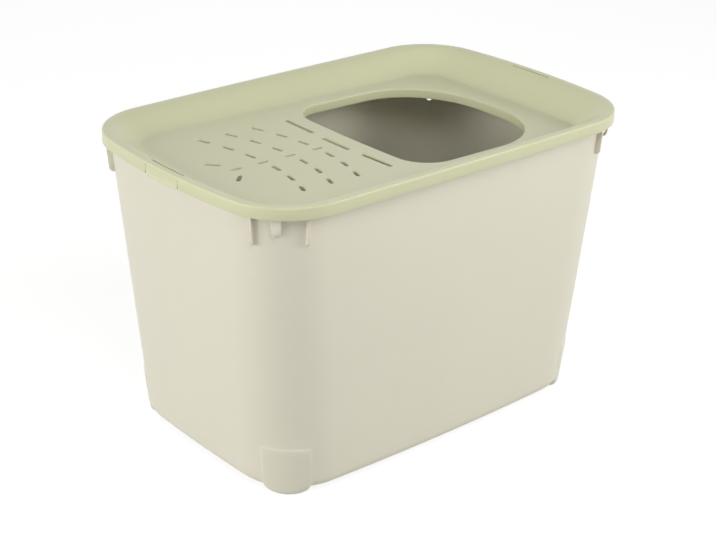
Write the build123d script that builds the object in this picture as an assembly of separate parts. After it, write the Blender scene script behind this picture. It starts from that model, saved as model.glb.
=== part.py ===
"""Top entry litter box: a tall tapered bin under a dished lid with a large entry opening.

Units are millimetres. The origin is at the middle of the footprint, on the surface that the box stands on:
+X runs along the length towards the entry opening, +Y across the width, +Z up.
"""

import os
from math import atan, atan2, cos, degrees, hypot, radians, sin, sqrt

from build123d import *

# ---------------------------------------------------------------- overall size
LID_HALF_LENGTH = 292.5
LID_HALF_WIDTH = 190.0
RIM_TOP = 376.7

# ---------------------------------------------------------------- outlines
# Each outline is two bowed ends, two slightly bowed sides and four corner arcs, all tangent:
# (half length, half width, corner radius, end radius, side radius)
LID_OUTLINE = (LID_HALF_LENGTH, LID_HALF_WIDTH, 84.0, 930.0, 14000.0)
BIN_MOUTH_OUTLINE = (280.0, 176.5, 75.0, 3200.0, 19000.0)
BIN_BASE_OUTLINE = (250.0, 164.0, 78.5, 2280.0, 3800.0)
BIN_MOUTH_Z = 361.0
BIN_BASE_Z = 6.0

# ---------------------------------------------------------------- bin
WALL = 2.4
FLOOR_THICKNESS = 2.8
BASE_FILLET = 14.6

# rim: a flange turned outwards, with a bead turned down at its edge
FLANGE_TOP = 368.6
FLANGE_THICKNESS = 2.4
FLANGE_BOTTOM = FLANGE_TOP - FLANGE_THICKNESS
FLANGE_SETBACK = 3.2
BEAD_THICKNESS = 2.2
BEAD_BOTTOM = 362.9
CATCH_NOTCH_DEPTH = 1.6
CATCH_NOTCH_HALF_WIDTH = 21.0

# ribs under the flange, a pair at each corner: one turned towards the end wall, one towards the side wall
RIB_THICKNESS = 3.0
RIB_DEPTH = 6.3
RIB_BOTTOM = 327.0
RIB_CHAMFER = 3.4
RIB_END_TURN = 17.5
RIB_SIDE_TURN = 28.0

# hole through the back right corner, to hang a scoop from
HANGING_HOLE_RADIUS = 4.0
HANGING_HOLE_DROP = 55.6
HANGING_HOLE_ASIDE = 5.0

# feet: a shallow pad round each bottom corner that runs down to the ground
FOOT_PROUD = 1.3
FOOT_TOP = 67.0
FOOT_SPREAD = 21.0
FOOT_DEPTH = 34.0
FOOT_ROUNDING = 6.0
FOOT_CORNER = 7.0
FOOT_INNER_CORNER = 10.0

# ---------------------------------------------------------------- lid
LID_THICKNESS = 2.4
SKIRT_THICKNESS = 2.3
SKIRT_BOTTOM = 362.0
RIM_ROUNDING = 2.4

# dish: its section is an S curve from the flat of the rim down to the level floor
DISH_WIDTH = 49.0
DISH_FLOOR_Z = 349.4
CROWN_Z = RIM_TOP + 0.2
CURVE_SETBACK = 4.0
CURVE_WIDTH = DISH_WIDTH - CURVE_SETBACK
CURVE_FALL = CROWN_Z - DISH_FLOOR_Z
DISH_STEPS = 8

# entry opening, drawn in the plane of the dish floor
ENTRY_LEFT = -17.6
ENTRY_RIGHT = 211.0
ENTRY_HALF_WIDTH = 124.0
ENTRY_LEFT_RADIUS = 42.0
ENTRY_RIGHT_RADIUS = 104.0
ENTRY_END_RADIUS = 600.0
LIP_DEPTH = 12.2
LIP_THICKNESS = 2.2
LIP_ROUNDING = 1.8

# drain slots: dashes on three bowed columns, a row along the middle, a tail pair and three long slots
COLUMN_APEXES = (-150.7, -111.2, -72.4)
COLUMN_RADIUS = 235.0
COLUMN_OFFSETS = (24.7, 59.0, 92.8)
DASH_LENGTH = 18.0
DASH_WIDTH = 5.4
MIDDLE_DASHES = (-190.8, -152.7, -112.6, -72.8)
MIDDLE_DASH_LENGTH = 15.5
MIDDLE_DASH_WIDTH = 5.0
TAIL_X = -205.5
TAIL_Y = 25.7
TAIL_ANGLE = 45.0
TAIL_LENGTH = 20.0
LONG_SLOT_WIDTH = 6.6
MIDDLE_SLOT_X = -44.0
MIDDLE_SLOT_LENGTH = 49.5
SIDE_SLOT_X = -42.0
SIDE_SLOT_Y = 71.8
SIDE_SLOT_LENGTH = 54.0

# slot through the rim above each latch
RIM_SLOT_LENGTH = 61.0
RIM_SLOT_WIDTH = 2.2
RIM_SLOT_SETBACK = 8.9

# ---------------------------------------------------------------- latch tabs, one at each end of the lid
TAB_HALF_WIDTH = 31.0
TAB_TOP = 372.6
TAB_BOTTOM = 360.4
TAB_CORNER = 8.0
TAB_GAP = 0.45
TAB_BORDER_WIDTH = 2.2
TAB_BORDER_PROUD = 0.4
TAB_PANEL_SUNK = 0.4
CATCH_HALF_WIDTH = 20.0
CATCH_HEIGHT = 3.2

# ---------------------------------------------------------------- liner hooks, one at each corner of the bin
HOOK_TOP_WIDTH = 13.5
HOOK_TIP_WIDTH = 8.0
HOOK_LENGTH = 23.0
HOOK_STANDOFF = 6.2
HOOK_THICKNESS = 2.2
HOOK_CURL_START = 14.0
HOOK_CURL_RADIUS = 11.0
HOOK_CURL_TURN = 46.0
HOOK_GAP = 0.4
HOOK_TOP = 0.4
HOOK_BOSS_WIDTH = 15.0
HOOK_ASIDE = 3.6

CORNERS = {
    "front_left": (-1, -1),
    "front_right": (1, -1),
    "back_left": (-1, 1),
    "back_right": (1, 1),
}
ENDS = {"left": -1, "right": 1}
CLEARANCE_CUT = 20.0


# ---------------------------------------------------------------- outlines as wires
def inset(outline, distance):
    """The outline moved inwards by a distance all round."""
    return tuple(value - distance for value in outline)


def bin_outline(z):
    """The outside of the bin wall at a height."""
    share = (z - BIN_BASE_Z) / (BIN_MOUTH_Z - BIN_BASE_Z)
    return tuple(low + (high - low) * share for low, high in zip(BIN_BASE_OUTLINE, BIN_MOUTH_OUTLINE))


def corner_centre(outline):
    """Centre of the corner arc in the +X +Y quarter: it touches the end arc and the side arc inside."""
    half_length, half_width, corner, end_radius, side_radius = outline
    end_x = half_length - end_radius
    side_y = half_width - side_radius
    from_end = end_radius - corner
    from_side = side_radius - corner
    span = hypot(end_x, side_y)
    along = (from_end**2 - from_side**2 + span**2) / (2 * span)
    across = sqrt(from_end**2 - along**2)
    ux, uy = -end_x / span, side_y / span
    return end_x + along * ux - across * uy, along * uy + across * ux


def outline_points(outline):
    """End middle, three points of the corner arc and side middle of the +X +Y quarter."""
    half_length, half_width, corner, end_radius, side_radius = outline
    cx, cy = corner_centre(outline)
    end_angle = atan2(cy, cx - (half_length - end_radius))
    side_angle = atan2(cy - (half_width - side_radius), cx)
    angles = (end_angle, (end_angle + side_angle) / 2, side_angle)
    first, middle, last = [(cx + corner * cos(angle), cy + corner * sin(angle)) for angle in angles]
    return (half_length, 0), first, middle, last, (0, half_width)


def outline_face(outline, plane):
    """Face inside the tangent arcs of an outline, on a plane, starting at the middle of the +X end."""
    half_length, half_width, corner, end_radius, side_radius = outline
    end, first, middle, last, side = outline_points(outline)
    half_turn = atan2(first[1], first[0] - half_length + end_radius) / 2
    quarter = (half_length - end_radius + end_radius * cos(half_turn), end_radius * sin(half_turn))

    def arc(sx, sy, *points):
        return ThreePointArc(*[plane.from_local_coords(Vector(x * sx, y * sy, 0)) for x, y in points])

    def mirrored(point):
        return -point[0], point[1]

    edges = [
        arc(1, 1, end, quarter, first),
        arc(1, 1, first, middle, last),
        arc(1, 1, last, side, mirrored(last)),
        arc(-1, 1, last, middle, first),
        arc(-1, 1, first, end, (first[0], -first[1])),
        arc(-1, -1, first, middle, last),
        arc(-1, -1, last, side, mirrored(last)),
        arc(1, -1, last, middle, first),
        arc(1, -1, first, quarter, end),
    ]
    return Face(Wire(edges))


def level(z):
    return Plane.XY.offset(z)


def prism(outline, low, high):
    """Upright solid of an outline between two heights."""
    return extrude(outline_face(outline, level(low)), amount=high - low, dir=(0, 0, 1))


def tapered(low, high, offset=0.0):
    """Solid of the bin's taper between two heights, moved outwards by an offset."""
    faces = [outline_face(inset(bin_outline(z), -offset), level(z)) for z in (low, high)]
    return loft(faces, ruled=True)


def edges_at(shape, z):
    return shape.edges().filter_by(lambda edge: abs(edge.center().Z - z) < 0.01)


FLANGE_OUTLINE = inset(LID_OUTLINE, FLANGE_SETBACK)


# ---------------------------------------------------------------- bin
def corner_reach(z):
    """How far the wall stands out along the diagonal of a corner."""
    outline = bin_outline(z)
    cx, cy = corner_centre(outline)
    return (cx + cy) * sin(radians(45)) + outline[2]


CORNER_RUN = corner_reach(BIN_MOUTH_Z) - corner_reach(BIN_BASE_Z)
CORNER_LEAN = atan(CORNER_RUN / (BIN_MOUTH_Z - BIN_BASE_Z))


def corner_plane(name, aside=0.0):
    """Plane on the wall at the middle of a corner arc: x along the wall, y up the wall, z outwards.

    It may be moved aside along the wall, towards the side wall.
    """
    sx, sy = CORNERS[name]
    outline = bin_outline(BIN_MOUTH_Z)
    cx, cy = corner_centre(outline)
    step = outline[2] * sin(radians(45))
    out = Vector(sx, sy, 0).normalized()
    along = Vector(-out.Y, out.X, 0)
    middle = Vector(sx * (cx + step), sy * (cy + step), BIN_MOUTH_Z)
    return Plane(
        origin=middle + along * (sx * sy * aside),
        x_dir=along,
        z_dir=(out.X * cos(CORNER_LEAN), out.Y * cos(CORNER_LEAN), -sin(CORNER_LEAN)),
    )


def rib_reach(z, heading):
    """Distance from the middle of the mouth's corner arc to the edge of a rib, along a heading."""
    outline = inset(bin_outline(z), -RIB_DEPTH)
    cx, cy = corner_centre(BIN_MOUTH_OUTLINE)
    ox, oy = corner_centre(outline)
    along = (ox - cx) * abs(cos(heading)) + (oy - cy) * abs(sin(heading))
    return along + sqrt(outline[2] ** 2 - (ox - cx) ** 2 - (oy - cy) ** 2 + along**2)


def rib(name, turn):
    """One upright rib under the flange, turned from the middle of the corner arc towards the side wall."""
    sx, sy = CORNERS[name]
    cx, cy = corner_centre(BIN_MOUTH_OUTLINE)
    heading = atan2(sy, sx) + sx * sy * radians(turn)
    plane = Plane(
        origin=(sx * cx, sy * cy, 0),
        x_dir=(cos(heading), sin(heading), 0),
        z_dir=(sin(heading), -cos(heading), 0),
    )
    inner = BIN_MOUTH_OUTLINE[2] - 3 * WALL
    low = RIB_BOTTOM + RIB_CHAMFER
    top = FLANGE_TOP - FLANGE_THICKNESS / 2
    profile = Polyline(
        (inner, RIB_BOTTOM),
        (rib_reach(low, heading) - RIB_CHAMFER, RIB_BOTTOM),
        (rib_reach(low, heading), low),
        (rib_reach(top, heading), top),
        (inner, top),
        close=True,
    )
    return extrude(plane * make_face(profile), amount=RIB_THICKNESS / 2, both=True)


def foot(name):
    """Pad round a bottom corner that stands proud of the wall and runs down to the ground."""
    sx, sy = CORNERS[name]
    outline = bin_outline(BIN_BASE_Z)
    cx, cy = corner_centre(outline)
    reach = outline[2] + FOOT_PROUD
    half_width = reach * sin(radians(FOOT_SPREAD))
    plane = Plane(origin=(sx * cx, sy * cy, 0), x_dir=(sx, sy, 0), z_dir=(0, 0, 1))
    inner = reach - FOOT_DEPTH
    outer = reach + CLEARANCE_CUT
    plan = Pos((inner + outer) / 2, 0) * Rectangle(outer - inner, 2 * half_width)
    plan = fillet(plan.vertices().group_by(Axis.X)[0], FOOT_INNER_CORNER)
    block = extrude(plane * plan, amount=FOOT_TOP)
    outwards = Vector(sx, sy, 0).normalized()
    top_edges = block.edges().group_by(Axis.Z)[-1]
    sides = top_edges.filter_by(lambda edge: abs(edge.tangent_at(0.5).dot(outwards)) > 0.99)
    block = fillet(sides, FOOT_CORNER)
    body = block & tapered(0, FOOT_TOP + CLEARANCE_CUT, FOOT_PROUD)
    return fillet(body.edges().group_by(Axis.Z)[0], FOOT_ROUNDING)


def hook_boss(name):
    """Block under the flange that a liner hook hangs from."""
    height = FLANGE_TOP - FLANGE_THICKNESS / 2 - BIN_MOUTH_Z - HOOK_TOP - HOOK_GAP
    depth = HOOK_STANDOFF + WALL
    middle = HOOK_TOP + HOOK_GAP + height / 2
    return corner_plane(name, HOOK_ASIDE) * Pos(0, middle, depth / 2 - WALL) * Box(HOOK_BOSS_WIDTH, height, depth)


def catch_notch(side):
    """Shallow notch in the flange edge that the latch's catch drops through."""
    x = side * (FLANGE_OUTLINE[0] - CATCH_NOTCH_DEPTH + CLEARANCE_CUT / 2)
    return Pos(x, 0, FLANGE_TOP) * Box(CLEARANCE_CUT, 2 * CATCH_NOTCH_HALF_WIDTH, CLEARANCE_CUT)


def hanging_hole():
    """Rod that cuts the hole through the wall of the back right corner."""
    place = corner_plane("back_right", HANGING_HOLE_ASIDE) * Pos(0, -HANGING_HOLE_DROP)
    return place * Cylinder(HANGING_HOLE_RADIUS, CLEARANCE_CUT)


def make_bin():
    outside = tapered(BIN_BASE_Z, FLANGE_TOP)
    outside = fillet(edges_at(outside, BIN_BASE_Z), BASE_FILLET)
    floor_z = BIN_BASE_Z + FLOOR_THICKNESS
    inside = tapered(floor_z, FLANGE_TOP + CLEARANCE_CUT, -WALL)
    inside = fillet(edges_at(inside, floor_z), BASE_FILLET - WALL)
    shell = outside + prism(FLANGE_OUTLINE, FLANGE_BOTTOM, FLANGE_TOP)
    bead_space = prism(inset(FLANGE_OUTLINE, BEAD_THICKNESS), BEAD_BOTTOM - 1, FLANGE_TOP)
    shell += prism(FLANGE_OUTLINE, BEAD_BOTTOM, FLANGE_TOP - 1) - bead_space
    for name in CORNERS:
        shell += rib(name, RIB_SIDE_TURN)
        shell += rib(name, -RIB_END_TURN)
        shell += hook_boss(name)
        shell += foot(name)
    for side in ENDS.values():
        shell -= catch_notch(side)
    return shell - inside - hanging_hole()


# ---------------------------------------------------------------- liner hooks
def make_hook(name):
    """Tapered tongue that hangs clear of the corner, with its tip curled towards the wall."""
    outer = HOOK_STANDOFF
    inner = HOOK_STANDOFF - HOOK_THICKNESS

    def curl(face, share):
        radius = face - HOOK_STANDOFF + HOOK_CURL_RADIUS
        angle = radians(HOOK_CURL_TURN * share)
        return face - radius * (1 - cos(angle)), -HOOK_CURL_START - radius * sin(angle)

    side = make_face(
        [
            Line((inner, HOOK_TOP), (outer, HOOK_TOP)),
            Line((outer, HOOK_TOP), (outer, -HOOK_CURL_START)),
            ThreePointArc((outer, -HOOK_CURL_START), curl(outer, 0.5), curl(outer, 1)),
            Line(curl(outer, 1), curl(inner, 1)),
            ThreePointArc(curl(inner, 1), curl(inner, 0.5), (inner, -HOOK_CURL_START)),
            Line((inner, -HOOK_CURL_START), (inner, HOOK_TOP)),
        ]
    )
    place = corner_plane(name, HOOK_ASIDE)
    side_plane = Plane(origin=place.origin, x_dir=place.z_dir, z_dir=-place.x_dir)
    strip = extrude(side_plane * side, amount=HOOK_TOP_WIDTH, both=True)
    tip = HOOK_TOP - HOOK_LENGTH
    radius = HOOK_TIP_WIDTH / 2
    front = make_face(
        [
            Line((-HOOK_TOP_WIDTH / 2, HOOK_TOP), (HOOK_TOP_WIDTH / 2, HOOK_TOP)),
            Line((HOOK_TOP_WIDTH / 2, HOOK_TOP), (radius, tip + radius)),
            ThreePointArc((radius, tip + radius), (0, tip), (-radius, tip + radius)),
            Line((-radius, tip + radius), (-HOOK_TOP_WIDTH / 2, HOOK_TOP)),
        ]
    )
    return strip & extrude(place * front, amount=CLEARANCE_CUT)


# ---------------------------------------------------------------- lid
def dish_height(share):
    """Height of the dish at a share of the way from the crown to the floor."""
    return CROWN_Z - CURVE_FALL * share**2 * (3 - 2 * share)


def dish_lean(share):
    """Slope of the dish wall there, as an angle in radians."""
    return atan(6 * share * (1 - share) * CURVE_FALL / CURVE_WIDTH)


def dish(thickness=0.0):
    """Solid that fills the dish, moved outwards and downwards by a thickness."""
    faces = []
    for step in range(DISH_STEPS + 1):
        share = step / DISH_STEPS
        lean = dish_lean(share)
        outline = inset(LID_OUTLINE, CURVE_SETBACK + share * CURVE_WIDTH - thickness * sin(lean))
        faces.append(outline_face(outline, level(dish_height(share) - thickness * cos(lean))))
    return loft(faces)


def entry_face(offset=0.0):
    """D-shaped face of the entry opening, moved outwards by an offset."""
    left = ENTRY_LEFT - offset
    half = ENTRY_HALF_WIDTH + offset
    near = ENTRY_LEFT_RADIUS + offset
    far = ENTRY_RIGHT_RADIUS + offset
    end = ENTRY_END_RADIUS + offset
    end_x = ENTRY_RIGHT - ENTRY_END_RADIUS
    far_y = ENTRY_HALF_WIDTH - ENTRY_RIGHT_RADIUS
    far_x = end_x + sqrt((ENTRY_END_RADIUS - ENTRY_RIGHT_RADIUS) ** 2 - far_y**2)
    join = atan2(far_y, far_x - end_x)
    join_x = end_x + end * cos(join)
    join_y = end * sin(join)
    middle = (join + radians(90)) / 2
    slant = near * (1 - sin(radians(45)))
    edges = [
        Line((left, near - half), (left, half - near)),
        ThreePointArc((join_x, -join_y), (end_x + end, 0), (join_x, join_y)),
    ]
    for side in (-1, 1):
        edges.append(
            ThreePointArc(
                (left, side * (half - near)),
                (left + slant, side * (half - slant)),
                (left + near, side * half),
            )
        )
        edges.append(Line((left + near, side * half), (far_x, side * half)))
        edges.append(
            ThreePointArc(
                (far_x, side * half),
                (far_x + far * cos(middle), side * (far_y + far * sin(middle))),
                (join_x, side * join_y),
            )
        )
    return make_face(edges)


def slot_sketch(x, y, angle, length, width):
    return Pos(x, y) * Rot(0, 0, angle) * SlotOverall(length, width)


def drain_slots():
    """Sketch of all the slots in the dish floor."""
    slots = [slot_sketch(x, 0, 0, MIDDLE_DASH_LENGTH, MIDDLE_DASH_WIDTH) for x in MIDDLE_DASHES]
    slots.append(slot_sketch(MIDDLE_SLOT_X, 0, 90, MIDDLE_SLOT_LENGTH, LONG_SLOT_WIDTH))
    for side in (-1, 1):
        slots.append(slot_sketch(SIDE_SLOT_X, side * SIDE_SLOT_Y, 90, SIDE_SLOT_LENGTH, LONG_SLOT_WIDTH))
        slots.append(slot_sketch(TAIL_X, side * TAIL_Y, -side * TAIL_ANGLE, TAIL_LENGTH, DASH_WIDTH))
        for apex in COLUMN_APEXES:
            for offset in COLUMN_OFFSETS:
                x = apex - offset**2 / (2 * COLUMN_RADIUS)
                angle = 90 + side * degrees(atan(offset / COLUMN_RADIUS))
                slots.append(slot_sketch(x, side * offset, angle, DASH_LENGTH, DASH_WIDTH))
    return Sketch() + slots


def tab_profile(grow=0.0):
    """Face of a latch tab seen from the end of the box: straight sides and rounded bottom corners."""
    half = TAB_HALF_WIDTH + grow
    low = TAB_BOTTOM - grow
    high = TAB_TOP + grow
    outline = Pos(0, (low + high) / 2) * Rectangle(2 * half, high - low)
    return fillet(outline.vertices().group_by(Axis.Y)[0], TAB_CORNER + grow)


def through_skirt(side, profile):
    """Solid of a profile in the Y, Z plane, pushed out through the skirt at one end of the lid."""
    plane = Plane(origin=(side * (LID_HALF_LENGTH - CLEARANCE_CUT), 0, 0), x_dir=(0, 1, 0), z_dir=(1, 0, 0))
    bar = extrude(plane * profile, amount=side * 2 * CLEARANCE_CUT)
    inside = prism(inset(LID_OUTLINE, SKIRT_THICKNESS + 1), TAB_BOTTOM - CLEARANCE_CUT, RIM_TOP)
    return bar - inside


def skirt_ring(outer, inner):
    """Upright ring between two distances in from the lid's outline, as tall as a latch tab."""
    ring = prism(inset(LID_OUTLINE, outer), TAB_BOTTOM, TAB_TOP)
    return ring - prism(inset(LID_OUTLINE, inner), TAB_BOTTOM - 1, TAB_TOP + 1)


def shell_of_lid():
    """Skirt, rim and dish in one thin shell."""
    low = DISH_FLOOR_Z - CLEARANCE_CUT
    block = prism(LID_OUTLINE, low, RIM_TOP)
    lid = fillet(edges_at(block, RIM_TOP), RIM_ROUNDING) - dish()
    hollow_outline = inset(LID_OUTLINE, SKIRT_THICKNESS)
    lid -= prism(hollow_outline, low - 1, RIM_TOP - LID_THICKNESS) - dish(LID_THICKNESS)
    below_skirt = prism(inset(LID_OUTLINE, -1), low - 2, SKIRT_BOTTOM)
    below_skirt -= prism(inset(LID_OUTLINE, 2 * SKIRT_THICKNESS), low - 3, SKIRT_BOTTOM + 1)
    return lid - below_skirt


def make_lid():
    lid = shell_of_lid()
    floor = level(DISH_FLOOR_Z)
    lip_bottom = DISH_FLOOR_Z - LIP_DEPTH
    lip = extrude(level(lip_bottom) * entry_face(LIP_THICKNESS), amount=LIP_DEPTH - LID_THICKNESS / 2)
    lid += lip
    lid -= extrude(level(lip_bottom - 1) * entry_face(), amount=LIP_DEPTH + CLEARANCE_CUT)
    entry_edges = [edge for edge in edges_at(lid, DISH_FLOOR_Z) if on_entry(edge)]
    lid = fillet(entry_edges, LIP_ROUNDING)
    lid -= extrude(floor.offset(-CLEARANCE_CUT / 2) * drain_slots(), amount=CLEARANCE_CUT)
    for side in ENDS.values():
        x = side * (LID_HALF_LENGTH - RIM_SLOT_SETBACK)
        slot = slot_sketch(x, 0, 90, RIM_SLOT_LENGTH, RIM_SLOT_WIDTH)
        lid -= extrude(level(FLANGE_TOP) * slot, amount=CLEARANCE_CUT)
        lid -= through_skirt(side, tab_profile(TAB_GAP))
    return lid


def on_entry(edge):
    """Whether an edge of the floor lies round the entry opening."""
    middle = edge.position_at(0.5)
    return abs(middle.Y) < ENTRY_HALF_WIDTH + 1 and ENTRY_LEFT - 1 < middle.X < ENTRY_RIGHT + 1


def make_tab(side):
    """Flexing tab that closes one end: a sunk panel inside a raised border, with a catch behind it."""
    whole = tab_profile()
    opening = Rectangle(2 * (TAB_HALF_WIDTH - TAB_BORDER_WIDTH), 4 * TAB_BORDER_WIDTH)
    border = whole - tab_profile(-TAB_BORDER_WIDTH) - Pos(0, TAB_TOP) * opening
    tab = skirt_ring(TAB_PANEL_SUNK, SKIRT_THICKNESS) & through_skirt(side, whole)
    tab += skirt_ring(-TAB_BORDER_PROUD, SKIRT_THICKNESS) & through_skirt(side, border)
    nose = FLANGE_SETBACK + CATCH_NOTCH_DEPTH - TAB_GAP
    depth = nose - SKIRT_THICKNESS / 2
    place = Pos(side * (LID_HALF_LENGTH - nose + depth / 2), 0, TAB_BOTTOM + CATCH_HEIGHT / 2)
    return tab + place * Box(depth, 2 * CATCH_HALF_WIDTH, CATCH_HEIGHT)


def main():
    os.makedirs("parts", exist_ok=True)
    parts = {"litter_bin": make_bin(), "top_lid": make_lid()}
    for name, side in ENDS.items():
        parts[f"latch_tab_{name}"] = make_tab(side)
    for name in CORNERS:
        parts[f"liner_hook_{name}"] = make_hook(name)
    for name, shape in parts.items():
        export_step(shape, f"parts/{name}.step")
        print(name, len(shape.solids()), round(shape.volume), shape.bounding_box())


main()
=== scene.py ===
"""Looks of a top entry litter box: a tall ivory bin under a sage lid with a dished tread and a wide entry.

Metres throughout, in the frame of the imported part: +X runs along the length towards the entry opening,
+Y across the width and +Z up from the floor.
"""

from math import asin, atan, atan2, cos, hypot, pi, radians, sin, sqrt
from typing import NamedTuple

import bmesh
import bpy
from bpy.props import FloatProperty, FloatVectorProperty, PointerProperty
from mathutils import Matrix, Vector
from mathutils.geometry import delaunay_2d_cdt


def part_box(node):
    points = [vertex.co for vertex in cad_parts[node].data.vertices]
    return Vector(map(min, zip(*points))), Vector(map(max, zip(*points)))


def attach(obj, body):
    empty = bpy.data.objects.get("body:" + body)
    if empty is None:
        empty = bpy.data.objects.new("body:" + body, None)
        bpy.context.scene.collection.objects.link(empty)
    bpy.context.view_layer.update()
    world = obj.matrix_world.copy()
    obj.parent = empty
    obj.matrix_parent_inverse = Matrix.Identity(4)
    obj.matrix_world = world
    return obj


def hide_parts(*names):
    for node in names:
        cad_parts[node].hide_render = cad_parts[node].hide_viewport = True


bl_info = {
    "name": "Top entry litter box",
    "version": (1, 0, 0),
    "blender": (4, 5, 0),
    "location": "View3D > Sidebar > Litter box",
    "description": "Builds the bin, the lid, the latches and the liner hooks of a top entry litter box",
    "category": "Add Mesh",
}

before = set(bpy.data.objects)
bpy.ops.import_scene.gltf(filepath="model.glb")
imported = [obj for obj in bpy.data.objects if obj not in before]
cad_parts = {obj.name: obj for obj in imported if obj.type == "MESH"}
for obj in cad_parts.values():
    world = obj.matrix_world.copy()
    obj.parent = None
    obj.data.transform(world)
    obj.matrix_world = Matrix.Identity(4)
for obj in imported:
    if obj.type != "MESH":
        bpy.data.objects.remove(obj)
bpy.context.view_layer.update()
_, LID_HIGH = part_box("top_lid")
_, BIN_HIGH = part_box("litter_bin")

MM = 0.001
CORNERS = {"front_left": (-1, -1), "front_right": (1, -1), "back_left": (-1, 1), "back_right": (1, 1)}
ENDS = {"left": -1, "right": 1}


# ---------------------------------------------------------------- outlines
class Outline(NamedTuple):
    """Bowed ends, slightly bowed sides and four corner arcs, all tangent."""

    half_length: float
    half_width: float
    corner: float
    end: float
    side: float

    def inset(self, distance):
        """The outline moved inwards all round."""
        return Outline(*(size - distance for size in self))

    def towards(self, other, share):
        """An outline part of the way to another one."""
        return Outline(*(size + (goal - size) * share for size, goal in zip(self, other)))

    def corner_centre(self):
        """Centre of the corner arc of the +X +Y quarter."""
        end_x = self.half_length - self.end
        side_y = self.half_width - self.side
        from_end = self.end - self.corner
        from_side = self.side - self.corner
        span = hypot(end_x, side_y)
        along = (from_end**2 - from_side**2 + span**2) / (2 * span)
        across = sqrt(from_end**2 - along**2)
        return end_x - (along * end_x + across * side_y) / span, (along * side_y - across * end_x) / span

    def corner_angles(self):
        """Angles at which the corner arc meets the end and the side."""
        cx, cy = self.corner_centre()
        return atan2(cy, cx - self.half_length + self.end), atan2(cy - self.half_width + self.side, cx)

    def points(self):
        """The outline as a closed loop of (x, y), with the same stops on every outline."""
        cx, cy = self.corner_centre()
        first, last = self.corner_angles()
        end_x = self.half_length - self.end
        side_y = self.half_width - self.side
        quarter = [(end_x + self.end * cos(first * s), self.end * sin(first * s)) for s in END_STOPS]
        for stop in CORNER_STOPS:
            angle = first + (last - first) * stop
            quarter.append((cx + self.corner * cos(angle), cy + self.corner * sin(angle)))
        for stop in SIDE_STOPS:
            angle = last + (pi / 2 - last) * stop
            quarter.append((self.side * cos(angle), side_y + self.side * sin(angle)))
        loop = quarter + [(-x, y) for x, y in reversed(quarter[1:-1])]
        return loop + [(-x, -y) for x, y in quarter] + [(x, -y) for x, y in reversed(quarter[1:-1])]


LID = Outline(LID_HIGH.x, LID_HIGH.y, 84 * MM, 930 * MM, 14000 * MM)
MOUTH = Outline(280 * MM, 176.5 * MM, 75 * MM, 3200 * MM, 19000 * MM)
BASE = Outline(249.8 * MM, 163.8 * MM, 78.5 * MM, 2280 * MM, 3800 * MM)
MOUTH_Z = 361 * MM
BASE_Z = 6 * MM

# stops along each arc, as shares of it: one stop of the end arcs is the edge of the latch, and the stops of
# the corner arcs crowd together at the edges of the foot pads
LATCH_HALF_WIDTH = 31.45 * MM
LATCH_STOP = asin(LATCH_HALF_WIDTH / LID.end) / LID.corner_angles()[0]
END_STOPS = [LATCH_STOP * n / 4 for n in range(5)]
END_STOPS += [LATCH_STOP + (1 - LATCH_STOP) * n / 6 for n in range(1, 7)]
PAD_HALF_TURN = radians(21)
PAD_EDGE = radians(2.4)
CORNER_STOPS = [n / 30 for n in range(1, 8)]
CORNER_STOPS += [0.245 + n * 0.008 for n in range(8)]
CORNER_STOPS += [0.315 + n * 0.02 for n in range(10)]
CORNER_STOPS += [1 - stop for stop in reversed(CORNER_STOPS)] + [1.0]
SIDE_STOPS = [n / 14 for n in range(1, 15)]
RING_SIZE = len(LID.points())


def bin_outline(z):
    """Outside of the bin's wall at a height."""
    return BASE.towards(MOUTH, (z - BASE_Z) / (MOUTH_Z - BASE_Z))


def smooth_step(share):
    """An S curve from 0 to 1."""
    share = min(max(share, 0.0), 1.0)
    return share * share * (3 - 2 * share)


# ---------------------------------------------------------------- meshes
class Solid:
    """Points and faces of one closed form, made from loops of points."""

    def __init__(self):
        self.points = []
        self.faces = []

    def loop(self, points):
        """Adds a loop of points and returns their numbers."""
        start = len(self.points)
        self.points.extend(tuple(point) for point in points)
        return list(range(start, len(self.points)))

    def bridge(self, one, other, closed=True, skip=()):
        """Faces between two loops of the same length."""
        for place in range(len(one) if closed else len(one) - 1):
            after = (place + 1) % len(one)
            if place not in skip:
                self.faces.append((one[place], one[after], other[after], other[place]))

    def skin(self, loops, closed=True):
        """Faces between each loop and the next."""
        for one, other in zip(loops, loops[1:]):
            self.bridge(one, other, closed)

    def add(self, other):
        """Takes in another solid's points and faces."""
        start = len(self.points)
        self.points.extend(other.points)
        self.faces.extend(tuple(number + start for number in face) for face in other.faces)

    def mesh(self, name, crease=35):
        """The form as a smooth mesh with sharp edges where it turns by more than the crease, in degrees."""
        mesh = bpy.data.meshes.new(name)
        mesh.from_pydata(self.points, [], self.faces)
        form = bmesh.new()
        form.from_mesh(mesh)
        bmesh.ops.recalc_face_normals(form, faces=form.faces)
        form.to_mesh(mesh)
        form.free()
        mesh.shade_smooth()
        mesh.set_sharp_from_angle(angle=radians(crease))
        return mesh


def bevelled(solid, width, segments=2):
    """A solid with its edges rounded."""
    form = bmesh.new()
    points = [form.verts.new(point) for point in solid.points]
    for face in solid.faces:
        form.faces.new([points[number] for number in face])
    bmesh.ops.recalc_face_normals(form, faces=form.faces)
    edges = form.edges[:]
    bmesh.ops.bevel(
        form, geom=edges, offset=width, segments=segments, profile=0.5, affect="EDGES", clamp_overlap=True
    )
    rounded = Solid()
    form.verts.index_update()
    rounded.points = [tuple(point.co) for point in form.verts]
    rounded.faces = [tuple(corner.index for corner in face.verts) for face in form.faces]
    form.free()
    return rounded


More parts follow.
